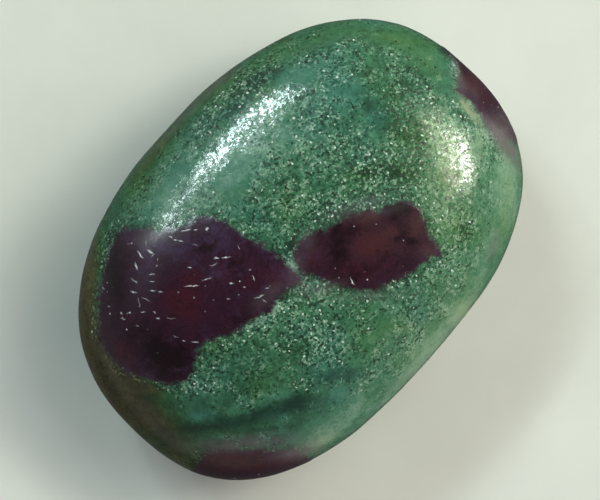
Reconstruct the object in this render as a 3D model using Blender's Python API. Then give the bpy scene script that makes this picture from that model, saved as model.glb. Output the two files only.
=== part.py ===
"""A palm stone of ruby in zoisite: one polished oval pebble, domed above and below and ground flat where it rests.

Lengths are in metres and +Z is up. The long axis runs along X, and the origin lies in the resting flat, under the
middle of the stone's box.
"""

import math

import bmesh
import bpy
from mathutils import Vector

MM = 0.001

# Driving dimensions. The girth is the stone's widest line, seen from above.
LENGTH = 40.0 * MM
WIDTH = 28.4 * MM
CROWN_HEIGHT = 8.2 * MM  # from the girth up to the summit
BELLY_DEPTH = 5.8 * MM  # from the girth down to the resting flat
GROUND_OFF = 0.8 * MM  # how much of the belly's dome the flat takes away
FLAT_RIM_SOFTNESS = 0.3 * MM  # depth over which the flat turns into the dome

# Form. A power of 2 is an ellipse, and a higher one is fuller at the shoulders.
GIRTH_POWER = 2.43
DOME_POWER = 2.2
CORNER_SHARE = 0.008  # three slight corners round the girth, as a share of its radius

# The grinder's unevenness: low waves across the stone, each with the way it runs, its radians from the middle to the
# outside, its height as a share of the radius, and where it starts.
HAND_WAVES = (
    (Vector((0.82, 0.51, 0.26)), 5.0, 0.0040, 0.4),
    (Vector((-0.38, 0.83, 0.41)), 6.5, 0.0030, 2.1),
    (Vector((0.21, -0.44, 0.87)), 4.2, 0.0045, 1.3),
)

GRID = 24  # faces along each edge of the cube that the pebble is blown up from

ZOISITE_GREEN = (0.062, 0.165, 0.098, 1.0)
ZOISITE_ROUGHNESS = 0.28


def clear_scene():
    for obj in list(bpy.data.objects):
        bpy.data.objects.remove(obj, do_unlink=True)


def cube_ball(faces_across):
    """A cube of evenly spread square faces, as a bmesh whose points are then moved to the stone's surface."""
    ball = bmesh.new()
    bmesh.ops.create_cube(ball, size=2.0)
    bmesh.ops.subdivide_edges(ball, edges=ball.edges[:], cuts=faces_across - 1, use_grid_fill=True)
    return ball


def ball_direction(point):
    """The way from the middle to a point of the cube, with the grid's angles evened out."""
    return Vector(math.tan(side * math.pi / 4) for side in point).normalized()


def girth_radius(angle):
    """The girth's distance from the middle at this angle from +X."""
    along = abs(math.cos(angle)) / (LENGTH / 2)
    across = abs(math.sin(angle)) / (WIDTH / 2)
    oval = (along**GIRTH_POWER + across**GIRTH_POWER) ** (-1 / GIRTH_POWER)
    return oval * (1 - CORNER_SHARE * math.sin(3 * angle))


def hand_swell(direction):
    """How far the hand grinding leaves the surface in or out here, as a factor near 1."""
    return 1 + sum(
        share * math.sin(turns * way.dot(direction) + start)
        for way, turns, share, start in HAND_WAVES
    )


def ground_flat(depth):
    """The depth below the girth once the resting flat is ground, with a soft rim where it meets the dome."""
    closeness = max(0.0, 1 - abs(depth - BELLY_DEPTH) / FLAT_RIM_SOFTNESS)
    return min(depth, BELLY_DEPTH) - closeness**2 * FLAT_RIM_SOFTNESS / 4


def stone_point(direction):
    """Where a ray from the middle of the girth comes out of the stone."""
    angle = math.atan2(direction.y * WIDTH, direction.x * LENGTH)
    outward = math.hypot(direction.x, direction.y)
    upward = abs(direction.z)
    reach = (outward**DOME_POWER + upward**DOME_POWER) ** (-1 / DOME_POWER)
    reach *= hand_swell(direction)
    radius = girth_radius(angle) * outward * reach
    if direction.z > 0:
        height = CROWN_HEIGHT * upward * reach
    else:
        height = -ground_flat((BELLY_DEPTH + GROUND_OFF) * upward * reach)
    return Vector((radius * math.cos(angle), radius * math.sin(angle), height))


def stand_on_origin(mesh):
    """Moves the mesh so that its box is centred over the origin and its lowest face lies at height 0."""
    low = Vector(min(v.co[axis] for v in mesh.vertices) for axis in range(3))
    high = Vector(max(v.co[axis] for v in mesh.vertices) for axis in range(3))
    middle = (low + high) / 2
    for vertex in mesh.vertices:
        vertex.co -= Vector((middle.x, middle.y, low.z))


def stone_material():
    material = bpy.data.materials.new("ruby_in_zoisite")
    material.use_nodes = True
    shader = material.node_tree.nodes["Principled BSDF"]
    shader.inputs["Base Color"].default_value = ZOISITE_GREEN
    shader.inputs["Roughness"].default_value = ZOISITE_ROUGHNESS
    shader.inputs["Metallic"].default_value = 0.0
    return material


def make_palm_stone():
    ball = cube_ball(GRID)
    for vertex in ball.verts:
        vertex.co = stone_point(ball_direction(vertex.co))
    mesh = bpy.data.meshes.new("palm_stone")
    ball.to_mesh(mesh)
    ball.free()
    stand_on_origin(mesh)
    mesh.shade_smooth()
    stone = bpy.data.objects.new("palm_stone", mesh)
    stone.data.materials.append(stone_material())
    bpy.context.scene.collection.objects.link(stone)
    return stone


def main():
    clear_scene()
    make_palm_stone()


main()
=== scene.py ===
"""The looks of a palm stone of ruby in zoisite: a polished oval pebble of speckled green zoisite with dark
red crystals of ruby ground flush in it, on a pale floor in soft light, seen from straight above.

Places on the stone are millimetres in the frame of the CAD part: +X is the long axis, +Z is up, and the
origin lies in the resting flat. Object sizes handed to Blender are metres. The markings that the camera sees
are placed by where they lie in its picture, in pixels, and on_stone() turns those into millimetres.
"""

import math

import bmesh
import bpy
import numpy as np
from mathutils import Euler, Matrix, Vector


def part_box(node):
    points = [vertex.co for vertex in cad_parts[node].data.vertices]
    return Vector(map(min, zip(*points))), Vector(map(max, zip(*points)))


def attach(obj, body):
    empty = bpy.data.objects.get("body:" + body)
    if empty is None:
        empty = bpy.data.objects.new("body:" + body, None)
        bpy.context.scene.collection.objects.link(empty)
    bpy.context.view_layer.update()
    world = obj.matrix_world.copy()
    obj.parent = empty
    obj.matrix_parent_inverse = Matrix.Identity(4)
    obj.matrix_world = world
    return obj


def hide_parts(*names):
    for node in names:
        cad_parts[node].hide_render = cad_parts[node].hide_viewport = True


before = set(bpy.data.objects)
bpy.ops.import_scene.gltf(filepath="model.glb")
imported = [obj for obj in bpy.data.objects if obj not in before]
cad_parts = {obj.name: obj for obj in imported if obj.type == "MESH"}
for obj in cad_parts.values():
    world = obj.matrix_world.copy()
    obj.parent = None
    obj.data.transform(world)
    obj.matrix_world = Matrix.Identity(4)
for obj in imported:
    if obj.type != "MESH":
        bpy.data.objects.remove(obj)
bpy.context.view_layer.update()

MM = 0.001
NODE = "palm_stone"
SLOT = "ruby_in_zoisite"
PIECE = "ruby_in_zoisite_stone"

# ---------------------------------------------------------------------------------------------------------
# The stone's form, as in the CAD part. What it comes out as is fitted to the part's own box.

STONE_LOW, STONE_HIGH = (np.array(corner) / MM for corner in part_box(NODE))
LENGTH = 40.0
WIDTH = 28.4
CROWN_HEIGHT = 8.2  # from the girth up to the summit
BELLY_DEPTH = 5.8  # from the girth down to the resting flat
GROUND_OFF = 0.8  # how much of the belly's dome the flat takes away
FLAT_RIM_SOFTNESS = 0.3  # how near to the flat's depth the dome starts to round over into it
GIRTH_POWER = 2.43  # a power of 2 is an ellipse, and a higher one is fuller at the shoulders
DOME_POWER = 2.2
CORNER_SHARE = 0.008  # three slight corners round the girth, as a share of its radius
HAND_WAVES = (
    # the grinder's unevenness, as low waves: the way each runs, its radians from the middle to the outside,
    # its height as a share of the radius, and where it starts
    ((0.82, 0.51, 0.26), 5.0, 0.0040, 0.4),
    ((-0.38, 0.83, 0.41), 6.5, 0.0030, 2.1),
    ((0.21, -0.44, 0.87), 4.2, 0.0045, 1.3),
)
GRID = 128  # faces along each edge of the cube that the stone is blown up from

# The relief on that form. A random field, here and below, is given by the size of its swells, how many waves
# are summed in it, and its seed.
POLISH_RIPPLES = ((0.020, (7.0, 12, 1)), (0.006, (3.1, 12, 2)), (0.002, (1.5, 12, 3)))  # height and field
RUBY_STEP = 0.50  # width of the step down from a ruby, which is the harder and so stands proud of the zoisite
STEP_WANDER = 0.16  # how far that step wanders from the ruby's own outline
STEP_FIELD = (1.3, 12, 4)
RELIEF_HEIGHTS = (0.02, 0.6)  # heights over the resting flat between which the relief fades in

# ---------------------------------------------------------------------------------------------------------
# The picture. Its camera looks straight down on the stone, which is turned in it.

PICTURE_SIZE = np.array((600, 500))  # pixels
PIXELS_PER_MM = 12.255  # at the height of the girth
CROWN_NEARNESS = 0.95  # a pixel on the crown, nearer to the camera, covers this share of one at the girth
CROWN_MM_PER_PIXEL = CROWN_NEARNESS / PIXELS_PER_MM
LENS = 100.0
SENSOR = 36.0
STONE_TURN = 48.1  # degrees from the picture's right to the stone's +X
AIM = (0.277, -0.375)  # the camera's line, this far right of the stone's middle and above it in the picture
CAMERA_DISTANCE = PICTURE_SIZE[0] / PIXELS_PER_MM * LENS / SENSOR  # from the girth
RIGHT = np.array((math.cos(math.radians(STONE_TURN)), -math.sin(math.radians(STONE_TURN))))
UP = np.array((math.sin(math.radians(STONE_TURN)), math.cos(math.radians(STONE_TURN))))
SIGHT_PASSES = 5  # how often a place on the stone is worked out, each time with the height found before

# ---------------------------------------------------------------------------------------------------------
# The ruby crystals that reach the crown: upright columns, each outlined by its corners in the picture.

GREAT_RUBY = (
    (118, 233), (130, 228), (150, 229), (166, 230), (180, 226), (195, 219), (208, 216), (221, 221),
    (234, 229), (250, 239), (262, 244), (276, 255), (290, 266), (301, 281), (288, 290), (279, 300),
    (268, 312), (250, 323), (232, 334), (213, 340), (201, 348), (196, 360), (191, 376), (181, 383),
    (168, 385), (150, 379), (130, 374), (115, 362), (103, 346), (98, 325), (98, 300), (103, 274),
    (110, 250),
)
SMALL_RUBY = (
    (296, 263), (296, 248), (304, 237), (318, 231), (332, 227), (342, 220), (354, 213), (366, 210),
    (378, 211), (388, 205), (398, 201), (408, 202), (417, 206), (422, 214), (426, 226), (432, 238),
    (442, 254), (428, 259), (417, 267), (405, 277), (390, 283), (374, 290), (360, 291), (346, 288),
    (332, 283), (319, 278), (304, 274),
)
HEAD_RUBY = (
    (444, 48), (453, 60), (459, 74), (457, 90), (464, 98), (472, 104), (478, 112), (484, 122),
    (493, 130), (505, 137), (536, 140), (545, 97), (494, 44),
)
FOOT_RUBY = (
    (192, 474), (198, 462), (206, 452), (222, 448), (242, 450), (262, 448), (278, 450), (294, 451),
    (308, 456), (316, 470), (300, 505), (230, 520), (190, 500),
)
CRYSTALS = (
    # outline, lowest point, and how far it stands proud
    (GREAT_RUBY, 8.0, 0.040),
    (SMALL_RUBY, 8.0, 0.030),
    (HEAD_RUBY, 2.6, 0.060),
    (FOOT_RUBY, 3.4, 0.050),
)
FLOOR_WANDER = 0.8  # how far a column's lower end wanders up and down
FLOOR_FIELD = (4.5, 8, 5)
SPAN_STEPS = 6  # straight pieces between two of an outline's corners
FAR = 9.0  # the furthest that a distance from a crystal is kept

# The six-sided crystals below the girth: middle, radius, half length, and the direction and rise of the axis.
HIDDEN_CRYSTALS = (
    ((7.0, 2.6, 0.2), 3.6, 5.2, 24, 12),
    ((-6.6, -4.4, 0.8), 2.5, 3.2, -35, 35),
    ((-12.6, 3.4, 1.2), 1.7, 2.4, 70, 20),
    ((5.6, 12.4, 3.0), 2.2, 3.2, 14, 24),
    ((-9.4, 9.8, 2.9), 1.2, 1.7, -50, 10),
    ((-1.2, -12.6, 2.6), 1.6, 2.6, -12, 28),
    ((13.4, -7.4, 2.6), 1.3, 1.8, 40, 50),
)
HIDDEN_TOP = 5.2  # these crystals stay below this height
HIDDEN_PROUD = 0.040  # how far they stand proud
PRISM_SIDES = 6
PRISM_TWIST = 15  # degrees by which their faces are turned round the axis
EDGE_WANDER = 0.30  # how far their edges wander
EDGE_FIELD = (2.4, 12, 6)
FINE_EDGE_FIELD = (0.9, 12, 7)
FINE_EDGE_SHARE = 0.5

# ---------------------------------------------------------------------------------------------------------
# Where the crown's tone departs from the plain rock. Each row is a soft oval in the picture: its middle, its
# half length and half width, its turn in degrees, and then how much it adds to each tone.

CROWN_TONES = (4.5, 7.0)  # heights on the stone between which these tones fade in
ZOISITE_TONES = ("shade", "teal", "speckle")  # lightness in stops, teal instead of olive, and speckledness
ZOISITE_ZONES = (
    # the dark olive margin on the left: painted shade, as if fingers round the stone kept the light off it,
    # and its olive partly a painted warm reflection
    (86, 275, 52, 15, 82, -0.9, -1.1, -1.1),
    (95, 355, 60, 18, 112, -1.1, -1.4, -1.0),
    (150, 422, 70, 26, -42, -1.3, -1.3, -1.0),
    (136, 182, 60, 10, 52, -0.2, -0.45, -0.7),
    (190, 112, 70, 8, 48, 0.1, -0.5, -0.8),
    # dark streaks behind that margin
    (237, 109, 18, 7, 35, -1.2, 0.5, 0.0),
    (247, 88, 20, 7, 45, -1.1, 0.3, 0.2),
    (266, 76, 22, 8, 25, -1.1, 0.2, 0.0),
    (298, 92, 16, 8, 0, -0.6, 0.2, 0.0),
    (205, 128, 20, 5, 40, -0.7, 0.2, 0.1),
    # the teal field between it and the rubies, lighter along the streak highlight partly as painted glare
    (254, 150, 70, 34, 48, 0.9, 0.3, 0.0),
    (330, 110, 40, 30, 60, 0.2, 0.3, 0.0),
    # the pale leafy ground towards the head: painted glow round the lamp's highlight, and a smoother patch
    # below it
    (448, 156, 26, 42, 0, 1.0, -0.3, 0.2),
    (480, 138, 13, 28, -15, 1.1, -0.3, -0.3),
    (480, 216, 18, 30, 0, 0.1, 0.0, -0.5),
    # lighter rock above the great ruby
    (285, 145, 30, 20, 0, 0.4, 0.0, 0.0),
    (190, 212, 30, 14, 20, 0.4, 0.0, -0.1),
    # smooth satin patches; those beside the streak highlight are lighter partly as painted glare
    (166, 190, 34, 13, 55, 1.1, 0.6, -1.3),
    (232, 173, 24, 12, 45, 0.6, 0.2, -2.4),
    (300, 75, 30, 11, 15, 0.7, 0.4, -1.3),
    (284, 132, 8, 16, 0, 0.2, 0.2, -1.2),
    (345, 92, 15, 9, 10, -0.2, 0.5, -0.8),
    (377, 116, 13, 16, 60, -0.2, 0.4, -1.1),
    (236, 212, 26, 10, 0, 0.1, 0.2, -0.6),
    (328, 376, 24, 9, 8, -0.5, 0.3, -0.7),
    (380, 330, 18, 10, 60, 0.2, -0.2, -0.6),
    # the smooth leafy margin round the head
    (370, 36, 60, 13, -5, 0.1, -0.35, -0.7),
    (300, 48, 44, 10, 22, 0.0, -0.3, -0.6),
    (425, 62, 40, 13, -38, 0.3, -0.4, -0.9),
    # the leafy side on the right, made bright by painted light from that side, with a painted sheen along its
    # rim
    (450, 225, 60, 35, 85, 0.7, -0.4, 0.0),
    (508, 192, 50, 20, 92, 1.7, -0.3, -1.6),
    (485, 262, 34, 14, 68, 0.4, 0.0, -1.2),
    (464, 312, 14, 11, 62, 1.4, -0.5, 0.0),
    (462, 300, 50, 22, 62, 0.7, 0.0, 0.0),
    (425, 358, 72, 14, 52, 1.8, 0.1, -1.5),
    (400, 350, 56, 22, 48, 0.8, 0.0, -0.15),
    # the calmer rock below the great ruby, and the rim on the right of the foot, made bright by painted light
    # from that side
    (270, 360, 70, 36, 0, -0.1, 0.0, -0.4),
    (338, 424, 48, 15, 32, 1.4, 0.1, -1.2),
    (322, 443, 26, 8, 30, 1.6, -0.4, -0.3),
    # dark spots, with a pale and a leafy one among them
    (366, 172, 14, 5, 8, -1.2, -0.2, -0.3),
    (398, 174, 12, 5, 0, -1.1, -0.2, -0.3),
    (367, 107, 8, 7, 0, -0.9, -0.1, 0.0),
    (396, 122, 12, 18, 0, -0.7, -0.2, -0.2),
    (398, 88, 26, 14, 20, -0.7, -0.2, -0.1),
    (420, 134, 12, 22, 0, -1.2, 0.0, -0.1),
    (402, 172, 30, 14, 0, -0.8, -0.2, -0.1),
    (340, 210, 44, 9, 15, -1.0, 0.1, 0.1),
    (290, 247, 9, 12, 0, -1.6, 0.0, 0.0),
    (268, 250, 12, 8, 0, -0.4, 0.0, 0.0),
    (286, 180, 12, 9, 0, -0.6, 0.1, -0.2),
    (296, 350, 16, 12, 30, -1.0, -0.2, -0.3),
    (300, 326, 12, 8, 30, -0.4, 0.0, 0.0),
    (250, 382, 24, 12, 20, -0.6, -0.2, -0.3),
    (268, 226, 16, 7, -30, -0.5, 0.3, 0.2),
    (392, 246, 12, 6, 0, -0.4, 0.0, 0.0),
    (466, 234, 8, 8, 0, -0.8, -0.2, 0.3),
    (350, 373, 22, 7, 8, -0.7, 0.2, -0.5),
    (340, 392, 10, 6, 0, 0.5, 0.4, -0.6),
    (228, 352, 16, 8, 0, -0.4, 0.0, 0.0),
    (392, 346, 12, 6, -20, -0.7, -0.1, -0.4),
    (404, 328, 16, 8, 0, 0.2, -0.4, 0.0),
    # the smooth blackish streaks near the foot, with paler patches between them
    (236, 428, 90, 24, 4, -0.6, 0.2, -1.4),
    (290, 406, 30, 9, 14, -1.3, 0.3, -0.8),
    (242, 421, 22, 6, 12, -1.2, 0.3, -0.8),
    (205, 427, 18, 5, 5, -0.9, 0.3, -0.5),
    (335, 398, 14, 7, 20, 0.2, 0.4, -0.8),
    (250, 440, 40, 6, 2, -0.5, 0.4, 0.0),
    (156, 398, 30, 12, -18, -0.5, 0.3, -1.0),
    (142, 386, 28, 8, -20, -0.5, -0.8, 0.0),
    (200, 416, 14, 6, 5, 0.5, 0.5, -0.4),
    (243, 403, 9, 6, 30, 0.6, 0.3, 0.0),
    (276, 396, 14, 5, 10, 0.4, 0.5, -0.3),
    (261, 412, 11, 5, 10, -1.0, 0.1, 0.0),
    (221, 420, 6, 5, 0, -1.1, 0.1, 0.0),
    (296, 402, 6, 9, -15, -0.8, 0.1, 0.0),
    (193, 429, 7, 3, 0, -0.9, 0.1, 0.0),
    (250, 431, 30, 2.5, 4, -0.5, 0.1, 0.0),
    (230, 414, 9, 4, 10, 0.5, 0.0, 0.2),
    (282, 418, 9, 5, 10, 0.7, 0.1, 0.2),
    (225, 436, 22, 3, 2, 0.6, -0.1, 0.2),
    (198, 417, 14, 4, 5, 0.4, 0.2, 0.2),
    (262, 437, 5, 4, -30, 1.4, 0.1, 1.8),
    # beside the head ruby, a pale rim that is a painted highlight of the lamp on the ruby's edge, with a dark
    # line and flecks
    (469, 110, 15, 4.5, -50, 3.6, -1.3, -1.0),
    (464, 118, 9, 2.5, -42, -2.4, -0.4, 0.6),
    (487, 135, 9, 5, -30, 1.5, 0.1, 1.9),
    (494, 152, 8, 12, 0, -0.6, 0.0, 1.7),
    (455, 68, 7, 9, 0, 0.6, 0.2, 1.4),
    # crowds of pale grains along the rubies
    (268, 318, 56, 8, 36, 0.4, 0.1, 0.9),
    (316, 346, 14, 22, 0, 0.4, 0.0, 0.5),
    (196, 388, 26, 7, 0, 0.2, 0.1, 0.7),
    (244, 228, 30, 5, -34, 0.2, 0.1, 0.7),
    (365, 204, 26, 6, 15, 0.4, 0.2, 0.8),
    (291, 266, 10, 12, 0, 0.5, 0.3, 0.9),
    (312, 287, 12, 6, 0, 0.4, 0.3, 0.7),
    (110, 250, 5, 16, -25, 0.1, 0.2, 0.7),
    (92, 318, 3, 20, 0, -0.2, 0.0, 0.9),
    (300, 330, 22, 10, 40, 0.3, 0.1, 0.5),
)
RUBY_TONES = ("glow", "violet_and_sheen", "char", "brown")  # char is black
RUBY_ZONES = (
    # the great ruby's red core, its tip, its outer corner and its middle
    (182, 304, 22, 20, 0, 1.1, -0.2, -0.3, -0.1),
    (188, 277, 14, 6, 0, 0.7, -0.1, -0.2, 0.0),
    (282, 275, 18, 9, -10, 0.8, 0.5, -0.3, 0.0),
    (122, 354, 26, 9, -60, 0.8, 0.0, -0.2, 0.2),
    (238, 288, 34, 20, 0, 0.3, 0.1, 0.0, 0.0),
    # its violet haze, a painted sheen of the window light on the ruby
    (172, 246, 36, 16, 8, 0.0, 0.8, -0.3, 0.0),
    (144, 262, 9, 26, 8, 0.0, 0.4, -0.3, 0.0),
    (222, 236, 26, 12, -30, 0.1, 0.6, 0.0, 0.0),
    (212, 272, 16, 10, 0, 0.4, 0.5, -0.2, 0.0),
    # its near black foot, edge and smudges
    (170, 362, 30, 20, 0, 0.0, 0.0, 1.1, 0.0),
    (150, 338, 24, 16, 0, 0.1, -0.2, 0.7, 0.0),
    (116, 272, 12, 44, 0, 0.0, 0.0, 1.0, 0.0),
    (206, 247, 10, 9, 0, 0.0, 0.0, 0.8, 0.0),
    (236, 268, 16, 9, 0, 0.0, 0.0, 0.9, 0.0),
    (262, 290, 16, 9, 0, 0.0, 0.0, 0.4, 0.0),
    (238, 318, 24, 8, 25, 0.0, 0.0, 0.6, 0.0),
    # the small ruby: all of it, its pale lobe, its red core, and the flecks, folds and patches round that
    (376, 244, 58, 40, 8, 0.0, -0.3, 0.22, 0.40),
    (312, 254, 14, 19, 0, 0.3, 0.3, 0.0, 0.2),
    (374, 245, 18, 9, 12, 1.3, -0.3, -0.6, 0.1),
    (338, 254, 11, 24, 0, 0.3, -0.1, 0.75, -0.2),
    (356, 272, 28, 10, 12, 0.5, 0.0, 0.3, -0.2),
    (350, 232, 16, 7, 20, 0.3, 0.0, 0.7, 0.0),
    (368, 217, 14, 7, 0, 0.0, 0.1, -0.4, 0.5),
    (394, 213, 7, 12, 20, 0.0, 0.0, 0.9, -0.2),
    (404, 210, 8, 5, 0, 0.0, 0.0, 0.9, 0.0),
    (417, 224, 9, 14, 0, 0.0, 0.1, -0.4, 0.6),
    (412, 241, 8, 5, 0, 0.0, 0.0, 1.0, 0.0),
    (404, 234, 16, 5, 40, 0.0, 0.0, 0.6, 0.0),
    (392, 232, 12, 6, 0, 0.3, 0.3, -0.2, 0.3),
    (431, 251, 12, 7, 0, 0.5, 0.1, -0.5, 0.4),
    (400, 266, 20, 10, -20, 0.1, 0.1, 0.2, -0.1),
    # the head ruby and the foot ruby, whose redder glow is partly a painted warm reflection
    (474, 84, 26, 11, -55, 0.5, -0.1, 0.2, 0.6),
    (222, 462, 34, 10, 0, 1.7, -0.3, -0.4, 0.5),
    (275, 458, 34, 12, 8, 1.0, 0.4, -0.3, 0.3),
)
HAZE_AND_SHEEN_TONES = ("haze_and_sheen",)
HAZE_AND_SHEEN_ZONES = (
    # where thin ruby and pale rock show through each other, with a grey veil on some of the rock; the rows so
    # marked below are painted light
    (152, 236, 20, 8, 20, 0.28),
    (215, 447, 30, 7, 0, 0.30),
    (256, 442, 46, 8, 3, 0.45),
    (300, 452, 22, 8, 12, 0.70),
    (496, 134, 15, 9, -55, 0.60),
    (507, 148, 14, 9, -65, 0.60),
    (515, 160, 16, 6, -80, 0.45),
    (458, 78, 5, 22, 8, 0.40),
    (470, 90, 14, 8, -50, 0.15),
    (494, 246, 16, 6, 68, 0.35),
    # painted highlight: the lamp caught along the head ruby's inner edge, and the glare beside it
    (470, 111, 16, 5.5, -50, 0.30),
    (488, 124, 12, 8, -50, 0.30),
    (507, 127, 20, 12, -58, 0.42),
    (178, 122, 70, 7, 48, 0.36),
    (220, 82, 30, 6, 40, 0.30),
    # painted warm reflection on the left margin
    (90, 250, 30, 6, 80, 0.18),
    (268, 296, 18, 7, 38, 0.25),
    (302, 288, 13, 8, 0, 0.25),
    (326, 288, 16, 6, 15, 0.35),
    (372, 296, 36, 5, 2, 0.25),
    (340, 212, 22, 6, 20, 0.25),
    (380, 210, 30, 6, 8, 0.15),
    (430, 250, 12, 8, 0, 0.10),
    (372, 200, 20, 5, 12, 0.25),
    (296, 268, 8, 14, 0, 0.30),
    (306, 240, 8, 12, 0, 0.25),
)

# Painted glints where flaws in the rubies' polish catch the light: middle, half length and half width, turn
# in degrees and brightness.
FLAW_GLINTS = (
    (140.5, 254.7, 4.8, 1.3, -50, 1.0),
    (136.3, 266, 3.8, 1.5, -65, 1.0),
    (134.3, 280.7, 4.0, 1.1, -37, 0.7),
    (133.3, 292, 3.4, 1.3, -22, 0.8),
    (145.7, 299.3, 4.6, 0.8, -30, 0.5),
    (150.5, 252, 3.6, 1.6, -30, 0.8),
    (152, 274.3, 2.6, 0.8, 5, 0.7),
    (152, 281.6, 2.4, 0.8, 0, 0.7),
    (152.7, 290.6, 3.0, 1.0, 5, 0.8),
    (160.4, 291.8, 2.4, 1.0, -10, 0.8),
    (186, 230, 5.0, 0.9, 8, 0.9),
    (195.5, 229.4, 1.6, 0.9, 0, 0.8),
    (181, 241, 3.0, 0.9, -10, 0.9),
    (207, 229, 1.6, 2.2, 0, 0.8),
    (194.8, 244.4, 3, 0.7, -15, 0.4),
    (216.2, 258.2, 2.6, 1.0, 0, 0.9),
    (226.2, 257.4, 4.6, 0.8, 5, 0.9),
    (213.5, 264.8, 3.6, 0.8, 18, 0.5),
    (189.4, 267.4, 2.2, 1.0, 0, 0.7),
    (191.5, 285.9, 6.6, 1.1, 1, 1.0),
    (207, 279, 5.2, 0.8, 25, 0.7),
    (231.5, 283.1, 2.2, 1.1, 0, 0.7),
    (253.7, 278, 2.4, 0.9, -60, 0.7),
    (244.5, 287.2, 1.4, 1.1, 0, 0.6),
    (259.5, 296.6, 5, 0.8, 20, 0.6),
    (157.8, 318.6, 1.7, 1.3, 0, 0.8),
    (171, 318.2, 4.5, 0.7, 2, 0.5),
    (122, 317.9, 1.6, 1.2, 0, 0.9),
    (143.5, 312.2, 2.6, 1.0, 5, 0.7),
    (195, 342, 3.6, 1.0, 0, 0.7),
    (129, 244, 1.5, 1.0, 0, 0.6),
    (146, 243, 2.6, 0.8, -70, 0.5),
    (153, 255.5, 2.0, 0.8, 60, 0.7),
    (170.5, 237.5, 2.4, 1.0, -35, 0.8),
    (175.5, 240.5, 1.6, 1.0, 0, 0.8),
    (239, 247, 2.2, 0.8, -60, 0.4),
    (157.5, 260, 1.6, 1.0, 80, 0.4),
    (157, 266, 1.4, 1.0, 0, 0.4),
    (121.5, 313.5, 1.8, 1.0, -60, 0.7),
    (128.5, 313, 2.2, 0.8, 20, 0.6),
    (124, 319.5, 1.4, 1.0, 0, 0.7),
    (137.5, 326, 1.6, 1.0, 0, 0.5),
    (154, 312.5, 2.0, 0.9, -30, 0.6),
    (139, 303, 5.0, 1.2, -78, 0.3),
    (104, 289, 1.4, 1.1, 0, 0.5),
    (109, 306, 1.4, 1.1, 0, 0.5),
    (250, 270, 1.4, 1.0, 0, 0.5),
    (267, 288, 1.6, 1.1, 20, 0.6),
    (228, 299, 1.4, 1.0, 0, 0.5),
    (264, 301, 3.4, 0.8, -40, 0.4),
    (176, 336.5, 2.6, 0.8, -25, 0.4),
    (184, 341, 1.4, 1.0, 0, 0.5),
    (351.8, 281, 4.0, 1.1, -62, 1.0),
)
FLAW_GLINT_NARROWING = 0.65  # the share of those half widths that is left without a glint's glow
FLAW_GLINT_REACH = 6.0  # a glint's half height in millimetres, from the summit's height down
FLAW_GLINT_END = 1.3  # how many half lengths and half widths out a glint has faded away

# ---------------------------------------------------------------------------------------------------------
# The shape of the stone and its rubies

def crown_height(places):
    """How high the crown's plain form lies over places in plan. Beyond the girth it is the girth's height."""
    along, across = np.abs(places).T / np.array((LENGTH / 2, WIDTH / 2))[:, None]
    outward = np.minimum((along**GIRTH_POWER + across**GIRTH_POWER) ** (1 / GIRTH_POWER), 1)
    return BELLY_DEPTH + CROWN_HEIGHT * (1 - outward**DOME_POWER) ** (1 / DOME_POWER)

def on_stone(pixels):
    """Where places in the picture lie on the stone, in plan. The higher the stone is there, the less a pixel
    covers, so each pass goes by the height that the one before it found."""
    offset = (np.array(pixels, float) - PICTURE_SIZE / 2) / PIXELS_PER_MM
    nearer = 1.0
    for _ in range(SIGHT_PASSES):
        aside = AIM[0] + offset[:, :1] * nearer
        above = AIM[1] - offset[:, 1:] * nearer
        places = aside * RIGHT + above * UP
        nearer = 1 - (crown_height(places)[:, None] - BELLY_DEPTH) / CAMERA_DISTANCE
    return places

def smooth_loop(corners):
    """A closed curve through the corners, as many short straight pieces."""
    here = np.array(corners, float)
    before, after, beyond = np.roll(here, 1, 0), np.roll(here, -1, 0), np.roll(here, -2, 0)
    curve = []
    for step in range(SPAN_STEPS):
        t = step / SPAN_STEPS
        bend = (2 * before - 5 * here + 4 * after - beyond) * t**2
        twist = (3 * here - before - 3 * after + beyond) * t**3
        curve.append((2 * here + (after - before) * t + bend + twist) / 2)
    return np.stack(curve, 1).reshape(-1, 2)

def distance_inside(places, loop):
    """How far each place lies inside the loop, in plan; negative where it is outside."""
    nearest = np.full(len(places), np.inf)
    inside = np.zeros(len(places), bool)
    for start, end in zip(loop, np.roll(loop, -1, 0)):
        along = end - start
        offset = places - start
        share = np.clip(offset @ along / (along @ along), 0, 1)
        nearest = np.minimum(nearest, np.hypot(*(offset - share[:, None] * along).T))
        if start[1] != end[1]:
            crosses = (start[1] > places[:, 1]) != (end[1] > places[:, 1])
            inside ^= crosses & (offset[:, 0] < offset[:, 1] * along[0] / along[1])
    return np.where(inside, nearest, -nearest)

def ripples(points, size, count, seed):
    """A smooth random field over the points, about 1 high, with swells of this size in millimetres."""
    random = np.random.default_rng(seed)
    field = np.zeros(len(points))
    for _ in range(count):
        way = random.normal(size=3)
        way *= math.tau / size / np.linalg.norm(way)
        field += np.sin(points @ way + random.uniform(0, math.tau))
    return field * math.sqrt(2 / count)

def column_depth(points, outline, lowest):
    """How far each point lies inside an upright ruby, whose lower end wanders."""
    depth = distance_inside(points[:, :2], smooth_loop(on_stone(outline)))
    return np.minimum(depth, points[:, 2] - lowest - FLOOR_WANDER * ripples(points, *FLOOR_FIELD))

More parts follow.
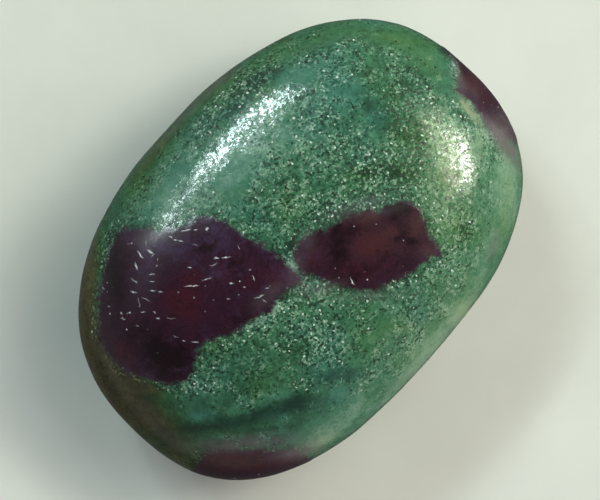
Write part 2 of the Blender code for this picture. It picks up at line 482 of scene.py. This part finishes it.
def prism_depth(points, middle, radius, half_length, turn, rise):
    """How far each point lies inside a six-sided ruby below the girth, whose edges wander."""
    way = Euler((0, -math.radians(rise), math.radians(turn))).to_matrix()
    along, across, upward = ((points - middle) @ np.array(way)).T
    depth = half_length - np.abs(along)
    for pair in range(PRISM_SIDES // 2):
        slant = math.radians(360 / PRISM_SIDES * pair + PRISM_TWIST)
        depth = np.minimum(depth, radius - np.abs(across * math.cos(slant) + upward * math.sin(slant)))
    depth = np.minimum(depth, HIDDEN_TOP - points[:, 2])
    wander = ripples(points, *EDGE_FIELD) + FINE_EDGE_SHARE * ripples(points, *FINE_EDGE_FIELD)
    return depth + EDGE_WANDER * wander

def nearest_crystal(points):
    """How far each point lies inside the nearest ruby, negative outside it, and how proud that ruby is."""
    rubies = [(column_depth(points, outline, lowest), height) for outline, lowest, height in CRYSTALS]
    rubies += [(prism_depth(points, *crystal), HIDDEN_PROUD) for crystal in HIDDEN_CRYSTALS]
    deepest = np.full(len(points), -FAR)
    proud = np.full(len(points), HIDDEN_PROUD)
    for depth, height in rubies:
        proud[depth > deepest] = height
        deepest = np.maximum(deepest, depth)
    return deepest, proud

def smoothstep(value, low, high):
    """A share that goes softly from 0 to 1 while the value goes from low to high."""
    share = np.clip((value - low) / (high - low), 0, 1)
    return share * share * (3 - 2 * share)

def zone_tones(points, zones):
    """The sum of the soft ovals at each point, one column for each tone. They lie on the crown alone."""
    crown = smoothstep(points[:, 2], *CROWN_TONES)
    total = 0
    for x, y, half_length, half_width, turn, *strengths in zones:
        turn = math.radians(turn - STONE_TURN)
        east, north = (points[:, :2] - on_stone([(x, y)])).T / CROWN_MM_PER_PIXEL
        along = (east * math.cos(turn) + north * math.sin(turn)) / half_length
        across = (north * math.cos(turn) - east * math.sin(turn)) / half_width
        total = total + np.outer(np.exp(-along**2 - across**2) * crown, strengths)
    return total

def relief(points, ruby, proud):
    """How far the polished surface stands out from the plain form, in millimetres."""
    step = ruby + STEP_WANDER * ripples(points, *STEP_FIELD)
    height = proud * smoothstep(step, -RUBY_STEP / 2, RUBY_STEP / 2)
    for swell, field in POLISH_RIPPLES:
        height += swell * ripples(points, *field)
    return height * smoothstep(points[:, 2], *RELIEF_HEIGHTS)

def cube_mesh():
    """A cube of evenly spread square faces, whose points are then moved to the stone's surface."""
    ball = bmesh.new()
    bmesh.ops.create_cube(ball, size=2.0)
    bmesh.ops.subdivide_edges(ball, edges=ball.edges[:], cuts=GRID - 1, use_grid_fill=True)
    mesh = bpy.data.meshes.new(PIECE)
    ball.to_mesh(mesh)
    ball.free()
    return mesh

def even_directions(mesh):
    """The direction of each of the cube's points from its middle, spread evenly over the ball."""
    cube = np.empty(len(mesh.vertices) * 3)
    mesh.vertices.foreach_get("co", cube)
    directions = np.tan(cube.reshape(-1, 3) * math.pi / 4)
    return directions / np.linalg.norm(directions, axis=1)[:, None]

def girth_radius(angle):
    """How far the girth is from the stone's middle, in plan."""
    along = np.abs(np.cos(angle)) / (LENGTH / 2)
    across = np.abs(np.sin(angle)) / (WIDTH / 2)
    oval = (along**GIRTH_POWER + across**GIRTH_POWER) ** (-1 / GIRTH_POWER)
    return oval * (1 - CORNER_SHARE * np.sin(3 * angle))

def stone_surface(directions):
    """Where rays from the middle of the girth come out of the stone, in millimetres."""
    x, y, z = directions.T
    angle = np.arctan2(y * WIDTH, x * LENGTH)
    outward = np.hypot(x, y)
    upward = np.abs(z)
    reach = (outward**DOME_POWER + upward**DOME_POWER) ** (-1 / DOME_POWER)
    reach *= 1 + sum(
        share * np.sin(turns * (directions @ np.array(way)) + start)
        for way, turns, share, start in HAND_WAVES
    )
    depth = (BELLY_DEPTH + GROUND_OFF) * upward * reach
    closeness = np.maximum(0, 1 - np.abs(depth - BELLY_DEPTH) / FLAT_RIM_SOFTNESS)
    ground = np.minimum(depth, BELLY_DEPTH) - closeness**2 * FLAT_RIM_SOFTNESS / 4
    height = np.where(z > 0, CROWN_HEIGHT * upward * reach, -ground)
    radius = girth_radius(angle) * outward * reach
    points = np.stack((radius * np.cos(angle), radius * np.sin(angle), height), 1)
    low, high = points.min(0), points.max(0)
    return STONE_LOW + (points - low) * (STONE_HIGH - STONE_LOW) / (high - low)

def save_attribute(mesh, name, values):
    """Stores one number for each point of the mesh, which a material reads by this name."""
    attribute = mesh.attributes.new(name, "FLOAT", "POINT")
    attribute.data.foreach_set("value", values.astype(np.float32))

def save_markings(mesh, points, ruby):
    """Stores how deep each point lies in a ruby, and the tones there."""
    save_attribute(mesh, "ruby_depth", ruby)
    for names, zones in ((ZOISITE_TONES, ZOISITE_ZONES), (RUBY_TONES, RUBY_ZONES), (HAZE_AND_SHEEN_TONES, HAZE_AND_SHEEN_ZONES)):
        for name, tone in zip(names, zone_tones(points, zones).T):
            save_attribute(mesh, name, tone)

def new_object(name, data):
    """An object in the scene that holds this mesh, light or camera."""
    item = bpy.data.objects.new(name, data)
    bpy.context.scene.collection.objects.link(item)
    return item

def make_stone():
    """The whole stone: its plain form, then the relief raised on that along its normals."""
    mesh = cube_mesh()
    points = stone_surface(even_directions(mesh))
    ruby, proud = nearest_crystal(points)
    save_markings(mesh, points, ruby)
    mesh.vertices.foreach_set("co", points.ravel())
    normals = np.empty(points.size)
    mesh.vertices.foreach_get("normal", normals)
    points += normals.reshape(-1, 3) * relief(points, ruby, proud)[:, None]
    mesh.vertices.foreach_set("co", (points * MM).ravel())
    mesh.shade_smooth()
    mesh.materials.append(stone_material())
    return new_object(PIECE, mesh)

# ---------------------------------------------------------------------------------------------------------
# What the materials are made with

HALF = (0.5, 0.5, 0.5)
NOISES = {
    # an offset that keeps one noise apart from another, the size of its swells in millimetres, and its
    # detail, roughness and distortion
    "clouds": ((0, 0, 0), 2.4, 2.0, 0.5, 0.0),
    "patches": ((0, 0, 0), 0.75, 2.0, 0.6, 0.0),
    "mottle": ((0, 0, 0), 0.33, 2.0, 0.6, 0.0),
    "threads": ((5.3, 41.0, 8.8), 0.60, 2.0, 0.6, 0.8),
    "hue": ((3.7, 22.3, 15.1), 4.5, 2.0, 0.5, 0.0),
    "drift": ((9.1, 4.3, 2.2), 5.0, 1.0, 0.5, 0.0),
    "density": ((2.9, 14.3, 7.1), 1.4, 2.0, 0.5, 0.4),
    "fray": ((0, 0, 0), 0.55, 3.0, 0.7, 0.0),
    "haze_and_sheen": ((1.3, 8.2, 0.4), 0.9, 3.0, 0.6, 0.0),
    "ruby_slow": ((0, 0, 0), 2.2, 2.0, 0.5, 0.0),
    "ruby_patches": ((6.1, 2.4, 0.9), 1.1, 3.0, 0.6, 0.6),
    "ruby_fine": ((0, 0, 0), 0.40, 3.0, 0.65, 0.4),
    "ruby_folds": ((2.0, 0.7, 4.4), 2.2, 3.0, 0.5, 0.7),
    "ruby_mottle": ((0, 0, 0), 0.20, 2.0, 0.6, 0.0),
    "flaw_glint_breaks": ((0, 0, 0), 0.16, 1.0, 0.5, 0.0),
    "floor": ((0, 0, 0), 14.0, 4.0, 0.6, 0.0),
}

class Paint:
    """Adds nodes to a material or the world and hands back their outputs, so a recipe reads as a formula."""

    def __init__(self, owner):
        owner.use_nodes = True
        self.tree = owner.node_tree

    def fill(self, node, inputs):
        """Gives inputs of a node an output to follow or a value of their own."""
        for name, value in inputs.items():
            if isinstance(value, bpy.types.NodeSocket):
                self.tree.links.new(value, node.inputs[name])
            else:
                node.inputs[name].default_value = value

    def node(self, kind, inputs, **settings):
        node = self.tree.nodes.new("ShaderNode" + kind)
        for name, value in settings.items():
            setattr(node, name, value)
        self.fill(node, inputs)
        return node

    def attribute(self, name):
        """A number that is stored with the mesh."""
        return self.node("Attribute", {}, attribute_name=name).outputs["Fac"]

    def math(self, operation, *values):
        return self.node("Math", dict(enumerate(values)), operation=operation).outputs[0]

    def add(self, total, *values):
        for value in values:
            total = self.math("ADD", total, value)
        return total

    def times(self, a, b):
        return self.math("MULTIPLY", a, b)

    def limited(self, value, low=0.0, high=1.0):
        """The value, kept between two limits."""
        return self.math("MINIMUM", self.math("MAXIMUM", value, low), high)

    def swing(self, noise, strength):
        """A noise turned into a swing of this strength about nought."""
        return self.times(self.math("SUBTRACT", noise, 0.5), strength)

    def off_middle(self, noise):
        """How far a noise is from its middle value, which it has along winding lines."""
        return self.math("ABSOLUTE", self.math("SUBTRACT", noise, 0.5))

    def ease(self, value, low, high, to_low=0.0, to_high=1.0, way="SMOOTHSTEP"):
        """Goes from to_low to to_high while the value goes from low to high, and stays there beyond."""
        inputs = {"Value": value, "From Min": low, "From Max": high, "To Min": to_low, "To Max": to_high}
        return self.node("MapRange", inputs, interpolation_type=way).outputs[0]

    def vectors(self, operation, a, b=(0.0, 0.0, 0.0)):
        return self.node("VectorMath", {0: a, 1: b}, operation=operation).outputs[0]

    def moved(self, place, offset):
        return self.vectors("ADD", place, offset)

    def noise(self, place, name):
        """One of the noises listed above, from 0 to 1."""
        offset, size, detail, roughness, distortion = NOISES[name]
        if any(offset):
            place = self.moved(place, offset)
        inputs = {
            "Vector": place,
            "Scale": 1 / size,
            "Detail": detail,
            "Roughness": roughness,
            "Distortion": distortion,
        }
        return self.node("TexNoise", inputs).outputs["Fac"]

    def warped(self, place, size, reach):
        """The place shifted at random by about this reach, with swells of this size."""
        noise = self.node("TexNoise", {"Vector": place, "Scale": 1 / size, "Detail": 1.0}).outputs["Color"]
        shift = self.vectors("SUBTRACT", noise, HALF)
        return self.moved(place, self.vectors("MULTIPLY", shift, (reach, reach, reach)))

    def cells(self, place, size):
        """Random cells of about this size."""
        return self.node("TexVoronoi", {"Vector": place, "Scale": 1 / size}, feature="F1")

    def blend(self, share, a, b):
        """A number between two. The Mix node's inputs are picked by where it lists those of this type."""
        return self.node("Mix", {0: share, 2: a, 3: b}, data_type="FLOAT").outputs[0]

    def mix(self, share, a, b, blend="MIX"):
        """A colour between two, or blended from them in another way."""
        inputs = {0: share, 6: a, 7: b}
        return self.node("Mix", inputs, data_type="RGBA", blend_type=blend).outputs[2]

    def exposed(self, colour, stops):
        """The colour made lighter or darker by this many stops."""
        return self.mix(1.0, colour, self.math("POWER", 2.0, stops), "MULTIPLY")

def rgb(red, green, blue):
    """A colour given by its sRGB values from 0 to 255, as linear light."""
    def linear(value):
        value /= 255
        return value / 12.92 if value <= 0.04045 else ((value + 0.055) / 1.055) ** 2.4
    return (linear(red), linear(green), linear(blue), 1.0)

def place_in_mm(paint):
    """The place in the object's own frame, in millimetres."""
    coordinates = paint.node("TexCoord", {}).outputs["Object"]
    return paint.node("VectorMath", {0: coordinates, "Scale": 1 / MM}, operation="SCALE").outputs[0]

# ---------------------------------------------------------------------------------------------------------
# The zoisite. A range for ease() is the value from which a thing starts and the one at which it is full, and
# for some also the numbers that it goes from and to. Tones are in stops and sizes in millimetres.

ZOISITE_OLIVE = rgb(106, 100, 64)
ZOISITE_LEAF = rgb(62, 106, 62)
ZOISITE_TEAL = rgb(60, 110, 94)
ZOISITE_MILK = rgb(148, 172, 138)
ZOISITE_SPECK = rgb(148, 182, 164)
ZOISITE_PIN_GLINT = rgb(222, 238, 228)

# its hue, from olive at the lowest to teal at the highest
HUE_SWING = 1.4
PLAIN_TEAL = 0.55
OLIVE_TO_LEAF = (-0.7, 0.2)

# how strongly it is speckled
MARGIN = (8.0, 10.4, -0.75, 0.0)  # heights between which the smooth margin gives way to the speckled crown
DRIFT_SWING = 1.2
DENSITY_SWING = 3.2
PLAIN_DENSITY = 1.0
DENSITY_LIMITS = (0.05, 1.8)

# its tone
CLOUD_STOPS = 1.6
PATCH_STOPS = 1.7
MOTTLE_STOPS = 3.0
GRAIN_STOPS = 2.4
THREAD_STOPS = 1.4  # a thread is paler than the rock beside it
THREAD_LINE = (0.035, 0.0)
PATCHY = (0.40, 0.60)  # where the patches let the zoisite's threads and the ruby's folds come out
BLACK_GRAINS = (0.11, 0.05, 0.0, -1.8)
FINE_LEFT = 0.12  # share of the fine marks that is left where there are no speckles
RIND = (-0.85, -0.10, 0.0, -1.3)  # dark, from this far outside a ruby
RIND_CLOUDS = (0.42, 0.58)
RIM = (-0.42, -0.12, 0.0, 1.5)  # pale, in place of the rind where grains crowd along a ruby
RIM_SPECKLES = (0.3, 0.7)
DARKEST_STOPS = -2.0
LIGHTEST_STOPS = 0.2  # above this the rock doesn't get lighter but milky
MILKINESS = (LIGHTEST_STOPS, 2.8, 0.0, 0.85)

# its grains, which catch the light on tilted facets or are pitted
GRAIN_SIZE = 0.16
GRAIN_BEND = (0.3, 0.28)  # size and reach of what bends the grains out of line
GRAIN_TILT = 0.035  # the slope of a grain's facet, at most
PLATE_SIZE = 0.36
PLATE_BEND = (0.5, 0.25)
PLATE_TILT = 0.028  # the slope of the wider plates that the grains lie in, at most
FACET_GAIN = 4.0  # makes the steepest facet's slope about 1
CROWD_BY_DENSITY = 0.10  # how much the density and the patches add to a grain's chance to be lit
CROWD_BY_PATCHES = 0.6
LIT_GRAINS = (0.88, 1.06)
PITS = (0.38, 0.34)
PIT_DEPTH = 0.020

# its tiny pale pins, one to a chosen cell: pale grains, and painted glints where facets catch the light
PIN_OFFSET = (7.3, 3.1, 5.7)
PIN_CELL = 0.38
PINS_BY_DENSITY = 0.3  # how much the density adds to a cell's chance to hold a pin
CHOSEN_PINS = (0.84, 1.10)
PIN_RADIUS = (0.27, 0.15)  # as a share of a cell

def speckle_density(paint, place):
    """How strongly the rock is speckled, from nearly 0 where it is smooth, as in its margin, to 1.8."""
    height = paint.node("SeparateXYZ", {0: place}).outputs["Z"]
    margin = paint.ease(height, *MARGIN)
    drift = paint.swing(paint.noise(place, "drift"), DRIFT_SWING)
    patch = paint.swing(paint.noise(place, "density"), DENSITY_SWING)
    plain = paint.add(drift, patch, PLAIN_DENSITY)
    return paint.limited(paint.add(paint.attribute("speckle"), margin, plain), *DENSITY_LIMITS)

def grains(paint, place, size):
    """Two random numbers from 0 to 1 for each grain of the rock, and the height of its tilted facet in
    millimetres for a steepest slope of about 1. Most facets lie nearly flat."""
    cells = paint.cells(place, size)
    offset = paint.vectors("SUBTRACT", place, cells.outputs["Position"])
    way = paint.vectors("SUBTRACT", cells.outputs["Color"], HALF)
    way = paint.vectors("MULTIPLY", way, paint.vectors("ABSOLUTE", way))
    height = paint.node("VectorMath", {0: offset, 1: way}, operation="DOT_PRODUCT").outputs["Value"]
    chances = paint.node("SeparateColor", {0: cells.outputs["Color"]})
    return chances.outputs[0], chances.outputs[1], paint.times(height, FACET_GAIN)

def broad_stops(paint, depth, clouds, patches):
    """How light the rock is, in broad strokes, with a dark rind or a pale rim along the rubies."""
    rind = paint.times(paint.ease(depth, *RIND), paint.ease(clouds, *RIND_CLOUDS))
    rim = paint.ease(depth, *RIM)
    shade = paint.attribute("shade")
    beside_ruby = paint.blend(paint.ease(paint.attribute("speckle"), *RIM_SPECKLES), rind, rim)
    return paint.add(shade, paint.swing(clouds, CLOUD_STOPS), paint.swing(patches, PATCH_STOPS), beside_ruby)

def fine_stops(paint, place, grain, patches):
    """What the grains, the mottle, the blackest grains and the pale threads add to that."""
    mottle = paint.swing(paint.noise(place, "mottle"), MOTTLE_STOPS)
    black = paint.ease(grain, *BLACK_GRAINS)
    thread = paint.ease(paint.off_middle(paint.noise(place, "threads")), *THREAD_LINE)
    thread = paint.times(thread, paint.ease(patches, *PATCHY))
    return paint.add(paint.swing(grain, GRAIN_STOPS), mottle, black, paint.times(thread, THREAD_STOPS))

def ground_and_milk(paint, place, stops):
    """The rock's own green, this light, and the milky green of its palest grains."""
    teal = paint.add(paint.attribute("teal"), paint.swing(paint.noise(place, "hue"), HUE_SWING), PLAIN_TEAL)
    teal_share = paint.limited(teal)
    green = paint.mix(paint.ease(teal, *OLIVE_TO_LEAF), ZOISITE_OLIVE, ZOISITE_LEAF)
    green = paint.mix(teal_share, green, ZOISITE_TEAL)
    ground = paint.exposed(green, paint.limited(stops, DARKEST_STOPS, LIGHTEST_STOPS))
    return ground, paint.mix(teal_share, ZOISITE_MILK, ZOISITE_SPECK)

def pale_pins_and_glints(paint, place, density, sharpness):
    """Where the tiny pale pins lie, pale grains and painted glints of light on facets, more of them where the
    rock is more speckled.
    """
    cells = paint.cells(paint.moved(place, PIN_OFFSET), PIN_CELL)
    chance = paint.add(cells.outputs["Color"], paint.times(density, PINS_BY_DENSITY))
    chosen = paint.times(paint.ease(chance, *CHOSEN_PINS), sharpness)
    return paint.times(paint.ease(cells.outputs["Distance"], *PIN_RADIUS), chosen)

def zoisite(paint, place, depth):
    """The green rock: its colour, how well polished it is, from 0 in a pit to 1, and its height."""
    clouds = paint.noise(place, "clouds")
    patches = paint.noise(place, "patches")
    density = speckle_density(paint, place)
    sharpness = paint.math("MINIMUM", density, 1.0)
    bent = paint.warped(place, *GRAIN_BEND)
    grain, luck, tilt = grains(paint, bent, GRAIN_SIZE)
    plate_tilt = grains(paint, paint.warped(place, *PLATE_BEND), PLATE_SIZE)[2]

    fine_share = paint.math("MULTIPLY_ADD", density, 1 - FINE_LEFT, FINE_LEFT)
    fine = paint.times(fine_stops(paint, place, grain, patches), fine_share)
    stops = paint.add(broad_stops(paint, depth, clouds, patches), fine)
    ground, milk = ground_and_milk(paint, place, stops)

    crowd = paint.add(paint.times(density, CROWD_BY_DENSITY), paint.swing(patches, CROWD_BY_PATCHES))
    lit = paint.ease(paint.add(grain, crowd), *LIT_GRAINS)
    lit = paint.times(lit, paint.times(luck, sharpness))
    colour = paint.mix(paint.math("MAXIMUM", paint.ease(stops, *MILKINESS), lit), ground, milk)
    # the pale pins: pale grains, and painted glints of light
    colour = paint.mix(pale_pins_and_glints(paint, bent, density, sharpness), colour, ZOISITE_PIN_GLINT)

    pits = paint.times(paint.ease(grain, *PITS), sharpness)
    facets = paint.add(paint.times(tilt, GRAIN_TILT), paint.times(plate_tilt, PLATE_TILT))
    height = paint.add(paint.times(pits, -PIT_DEPTH), paint.times(facets, sharpness))
    return colour, paint.math("SUBTRACT", 1.0, pits), height

# ---------------------------------------------------------------------------------------------------------
# The ruby

RUBY_WINE = rgb(47, 22, 39)
RUBY_RED = rgb(64, 22, 36)
RUBY_BROWN = rgb(76, 46, 44)
RUBY_VIOLET = rgb(66, 48, 76)
RUBY_BLACK = rgb(26, 10, 18)
RUBY_PIN_AND_GLINT = rgb(246, 246, 252)

# its zones and textures
RUBY_PATCH_SWING = 2.1
RUBY_FINE_SWING = 0.8
GLOW_SWING = 1.3
GLOW = (-0.1, 1.0)
BROWN = (0.0, 1.2)
VIOLET = (0.0, 1.3)
VIOLET_EDGE = (0.9, 0.0, 0.0, 0.30)  # more violet towards a ruby's edge
CHAR = (0.10, 1.1)
FOLD_LINE = (0.035, 0.0, 0.0, 0.45)
RUBY_MOTTLE_STOPS = 1.2
RUBY_UNEVENNESS = 0.008

# its bright pins, and the painted glints of light on flaws in its polish
RUBY_PIN_OFFSET = (1.1, 5.2, 3.3)
RUBY_PIN_CELL = 0.60
CHOSEN_RUBY_PINS = (0.62, 0.92, 0.0, 0.85)
RUBY_PIN_RADIUS = (0.15, 0.07)
FLAW_GLINT_BEND = (0.35, 0.24)
FLAW_GLINT_BREAKS = (0.36, 0.56, 0.45, 1.0)

def ruby_colour(paint, place, depth, patches, fine):
    """Dark wine red with a redder glow, brown zones, violet ones partly a painted sheen, black smudges, dark
    folds and fine mottle.
    """
    texture = paint.add(paint.swing(patches, RUBY_PATCH_SWING), paint.swing(fine, RUBY_FINE_SWING))
    glow = paint.add(paint.attribute("glow"), paint.swing(paint.noise(place, "ruby_slow"), GLOW_SWING))
    colour = paint.mix(paint.ease(glow, *GLOW), RUBY_WINE, RUBY_RED)
    colour = paint.mix(paint.ease(paint.attribute("brown"), *BROWN), colour, RUBY_BROWN)
    # violet, the ruby's own and in places a painted sheen of the window light
    violet_and_sheen = paint.add(paint.attribute("violet_and_sheen"), paint.ease(depth, *VIOLET_EDGE), texture)
    colour = paint.mix(paint.ease(violet_and_sheen, *VIOLET), colour, RUBY_VIOLET)
    char = paint.math("SUBTRACT", paint.attribute("char"), texture)
    colour = paint.mix(paint.ease(char, *CHAR), colour, RUBY_BLACK)
    fold = paint.ease(paint.off_middle(paint.noise(place, "ruby_folds")), *FOLD_LINE)
    colour = paint.mix(paint.times(fold, paint.ease(patches, *PATCHY)), colour, RUBY_BLACK)
    return paint.exposed(colour, paint.swing(paint.noise(place, "ruby_mottle"), RUBY_MOTTLE_STOPS))

def ruby_pins(paint, place):
    """Where the ruby's tiny bright pins lie."""
    cells = paint.cells(paint.moved(place, RUBY_PIN_OFFSET), RUBY_PIN_CELL)
    chosen = paint.ease(cells.outputs["Color"], *CHOSEN_RUBY_PINS)
    return paint.times(paint.ease(cells.outputs["Distance"], *RUBY_PIN_RADIUS), chosen)

def flaw_glints(paint, place):
    """How bright the painted glints on flaws in the rubies' polish are here. Their edges are bent, and they
    are broken up.
    """
    place = paint.warped(place, *FLAW_GLINT_BEND)
    brightest = 0.0
    for x, y, half_length, half_width, turn, brightness in FLAW_GLINTS:
        half_size = np.array((half_length, half_width * FLAW_GLINT_NARROWING)) * CROWN_MM_PER_PIXEL
        inputs = {
            "Vector": place,
            "Location": (*on_stone([(x, y)])[0], STONE_HIGH[2]),
            "Rotation": (0, 0, math.radians(turn - STONE_TURN)),
            "Scale": (*half_size, FLAW_GLINT_REACH),
        }
        inner = paint.node("Mapping", inputs, vector_type="TEXTURE").outputs[0]
        outward = paint.node("VectorMath", {0: inner}, operation="LENGTH").outputs["Value"]
        bright = paint.math("MULTIPLY_ADD", outward, -brightness, FLAW_GLINT_END * brightness)
        brightest = paint.math("MAXIMUM", bright, brightest)
    breaks = paint.ease(paint.noise(place, "flaw_glint_breaks"), *FLAW_GLINT_BREAKS)
    return paint.times(paint.math("MINIMUM", brightest, 1.0), breaks)

def ruby_rock(paint, place, depth):
    """The ruby: its colour, with painted glints on flaws and bright pins in the polish, and its height."""
    fine = paint.noise(place, "ruby_fine")
    colour = ruby_colour(paint, place, depth, paint.noise(place, "ruby_patches"), fine)
    # the painted glints of light on the flaws, and the bright pins
    bright = paint.math("MAXIMUM", flaw_glints(paint, place), ruby_pins(paint, place))
    return paint.mix(bright, colour, RUBY_PIN_AND_GLINT), paint.swing(fine, RUBY_UNEVENNESS)

# ---------------------------------------------------------------------------------------------------------
# The stone's material, in which the rubies lie in the zoisite

FRAY_SWING = 1.4  # how far the ruby's colour frays over its outline
RUBY_EDGE = (-0.32, 0.28)
HAZE_AND_SHEEN = rgb(112, 103, 106)
HAZE_AND_SHEEN_SWING = 1.6
ROUGHNESS = (0.0, 1.0, 0.30, 0.115)  # from the pits of the zoisite to its polish
RUBY_ROUGHNESS = 0.25
STONE_IOR = 1.65

def stone_material():
    """Zoisite and ruby side by side, with haze where one shows through the other and a painted sheen in
    places. Heights are millimetres.
    """
    material = bpy.data.materials.new(SLOT)
    paint = Paint(material)
    place = place_in_mm(paint)
    depth = paint.attribute("ruby_depth")
    fray = paint.swing(paint.noise(place, "fray"), FRAY_SWING)
    ruby = paint.ease(paint.add(depth, fray), *RUBY_EDGE)
    green, polish, green_height = zoisite(paint, place, depth)
    red, red_height = ruby_rock(paint, place, depth)
    haze_and_sheen = paint.add(paint.swing(paint.noise(place, "haze_and_sheen"), HAZE_AND_SHEEN_SWING), 1.0)
    haze_and_sheen = paint.limited(paint.times(paint.attribute("haze_and_sheen"), haze_and_sheen))
    height = paint.blend(ruby, green_height, red_height)
    bump = paint.node("Bump", {"Height": height, "Distance": MM, "Strength": 1.0})
    looks = {
        "Base Color": paint.mix(haze_and_sheen, paint.mix(ruby, green, red), HAZE_AND_SHEEN),
        "Roughness": paint.blend(ruby, paint.ease(polish, *ROUGHNESS), RUBY_ROUGHNESS),
        "IOR": STONE_IOR,
        "Normal": bump.outputs[0],
    }
    paint.fill(paint.tree.nodes["Principled BSDF"], looks)
    return material

# ---------------------------------------------------------------------------------------------------------
# Floor, light and camera

FLOOR_HALF = 1.5
FLOOR_COLOURS = (rgb(226, 225, 220), rgb(232, 231, 226))
FLOOR_MOTTLE = (0.3, 0.7)
FLOOR_ROUGHNESS = 0.8
LIGHT_DISTANCE = 0.6
LIGHTS = (
    # name, direction round the stone and height in degrees, width and height in metres, watts, colour, and
    # whether the polish mirrors it
    ("window", 80, 38.5, 0.18, 0.052, 0.85, (0.74, 0.96, 0.95), True),
    ("window_top", 68, 41.5, 0.08, 0.055, 0.34, (0.74, 0.96, 0.95), True),
    ("window_side", 96, 41, 0.20, 0.022, 0.32, (0.78, 0.96, 0.96), True),
    ("window_far", 118, 45, 0.36, 0.12, 0.05, (0.80, 0.84, 1.0), True),
    ("lamp", -26, 38, 0.17, 0.06, 0.80, (1.0, 1.0, 0.90), True),
    ("lamp_halo", -20, 39, 0.36, 0.18, 0.60, (0.88, 1.0, 0.68), True),
    ("lamp_top", -12, 42, 0.16, 0.09, 0.16, (0.88, 1.0, 0.62), True),
    ("lamp_glow", -18, 40, 0.60, 0.40, 1.6, (1.0, 0.99, 0.92), False),
    ("fill", -75, 26, 0.60, 0.40, 1.1, (1.0, 0.99, 0.98), False),
)
WORLD_COLOUR = (1.0, 0.99, 0.97, 1.0)
HORIZON_LIGHT = 0.25
ZENITH_LIGHT = 0.05
ZENITH_FROM = 0.8  # height of the direction from which the sky has the zenith's light
NADIR_SHARE = 0.3  # what is left of the horizon's light below it
NADIR_FROM = -0.25  # height of the direction from which no more than that is left
CLIP_START = 0.001

def floor_material():
    material = bpy.data.materials.new("pale_floor")
    paint = Paint(material)
    mottle = paint.ease(paint.noise(place_in_mm(paint), "floor"), *FLOOR_MOTTLE)
    looks = {"Base Color": paint.mix(mottle, *FLOOR_COLOURS), "Roughness": FLOOR_ROUGHNESS}
    paint.fill(paint.tree.nodes["Principled BSDF"], looks)
    return material

def make_floor():
    mesh = bpy.data.meshes.new("floor")
    corners = [(x * FLOOR_HALF, y * FLOOR_HALF, 0) for x, y in ((-1, -1), (1, -1), (1, 1), (-1, 1))]
    mesh.from_pydata(corners, [], [(0, 1, 2, 3)])
    mesh.materials.append(floor_material())
    floor = new_object("floor", mesh)
    floor.visible_glossy = False  # as if a hand round the stone kept the pale floor out of its polish

def make_lights():
    for name, turn, height, width, tall, watts, colour, mirrored in LIGHTS:
        turn = math.radians(turn)
        height = math.radians(height)
        way = Vector((math.cos(turn) * math.cos(height), math.sin(turn) * math.cos(height), math.sin(height)))
        data = bpy.data.lights.new(name, "AREA")
        data.shape = "RECTANGLE"
        data.size = width
        data.size_y = tall
        data.energy = watts
        data.color = colour
        light = new_object(name, data)
        light.location = way * LIGHT_DISTANCE
        light.rotation_euler = way.to_track_quat("Z", "Y").to_euler()
        light.visible_camera = False
        light.visible_glossy = mirrored

def make_world():
    """A soft sky, lightest at the horizon."""
    world = bpy.data.worlds.new("studio")
    paint = Paint(world)
    way = paint.node("TexCoord", {}).outputs["Generated"]
    height = paint.node("SeparateXYZ", {0: way}).outputs["Z"]
    above = paint.ease(height, 0.0, ZENITH_FROM, HORIZON_LIGHT, ZENITH_LIGHT, "LINEAR")
    below = paint.ease(height, NADIR_FROM, 0.0, NADIR_SHARE, 1.0, "LINEAR")
    light = {"Color": WORLD_COLOUR, "Strength": paint.times(above, below)}
    paint.fill(paint.tree.nodes["Background"], light)
    bpy.context.scene.world = world

def make_camera():
    data = bpy.data.cameras.new("camera")
    data.lens = LENS
    data.sensor_width = SENSOR
    data.clip_start = CLIP_START
    camera = new_object("camera", data)
    aim = AIM[0] * RIGHT + AIM[1] * UP
    camera.location = Vector((*aim, BELLY_DEPTH + CAMERA_DISTANCE)) * MM
    camera.rotation_euler = (0, 0, -math.radians(STONE_TURN))
    bpy.context.scene.camera = camera

def main():
    make_camera()
    make_lights()
    make_world()
    make_floor()
    stone = make_stone()
    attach(stone, "root")
    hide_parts(NODE)
    bpy.context.scene.view_settings.view_transform = "Standard"

main()
